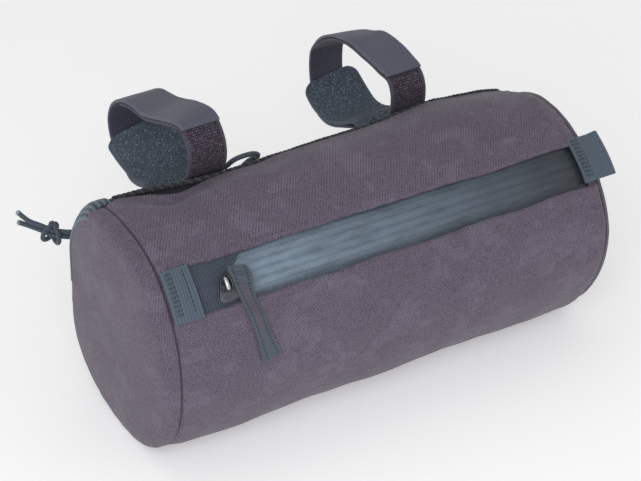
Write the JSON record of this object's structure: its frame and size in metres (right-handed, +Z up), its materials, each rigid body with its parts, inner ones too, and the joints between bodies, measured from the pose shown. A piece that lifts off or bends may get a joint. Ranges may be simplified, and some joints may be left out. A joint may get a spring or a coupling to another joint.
{
  "type": "bicycle handlebar bag",
  "caption": "Cylindrical padded cloth bag for a bicycle handlebar, with hook-and-loop mounting straps, a zipped front pocket and webbing tabs at its ends.",
  "frame": {"origin": "middle of the flattened strip of fabric under the bag, on the surface that it rests on", "axes": "+X along the bag to its right end, +Y to the back where the handlebar runs through the straps, +Z up"},
  "size_m": [0.2676, 0.178, 0.141],
  "materials": {
    "body_fabric": "woven polyester, faint blocky tone pattern",
    "panel_fabric": "matt black cloth",
    "coated_tape": "coated zip tape, half gloss",
    "grey_webbing": "ribbed webbing",
    "strap_tape": "smooth tape",
    "hook_tape": "hook tape",
    "pile_fabric": "coarse pile",
    "slider_metal": "dark gloss",
    "elastic_cord": "braided"
  },
  "bodies": {
    "root": {"body_wrap": "body_fabric", "end_panel_left": "body_fabric", "end_panel_right": "body_fabric", "mount_panel": "panel_fabric", "panel_edge": "panel_fabric", "cord_tab": "panel_fabric", "panel_binding_left": "grey_webbing", "panel_binding_right": "grey_webbing", "pocket_zip_upper": "coated_tape", "pocket_zip_lower": "coated_tape", "pocket_zip_garage": "grey_webbing", "zip_slider": "slider_metal", "zip_puller": "slider_metal", "zip_ribbon": "grey_webbing", "webbing_tab_left": "grey_webbing", "webbing_tab_right": "grey_webbing", "strap_left_band": "hook_tape", "strap_left_cover": "strap_tape", "strap_left_flap": "pile_fabric", "strap_right_band": "hook_tape", "strap_right_cover": "strap_tape", "strap_right_flap": "pile_fabric", "cord_strand_upper": "elastic_cord", "cord_strand_lower": "elastic_cord", "cord_arch": "elastic_cord", "cord_knot": "elastic_cord"}
  },
  "joints": []
}
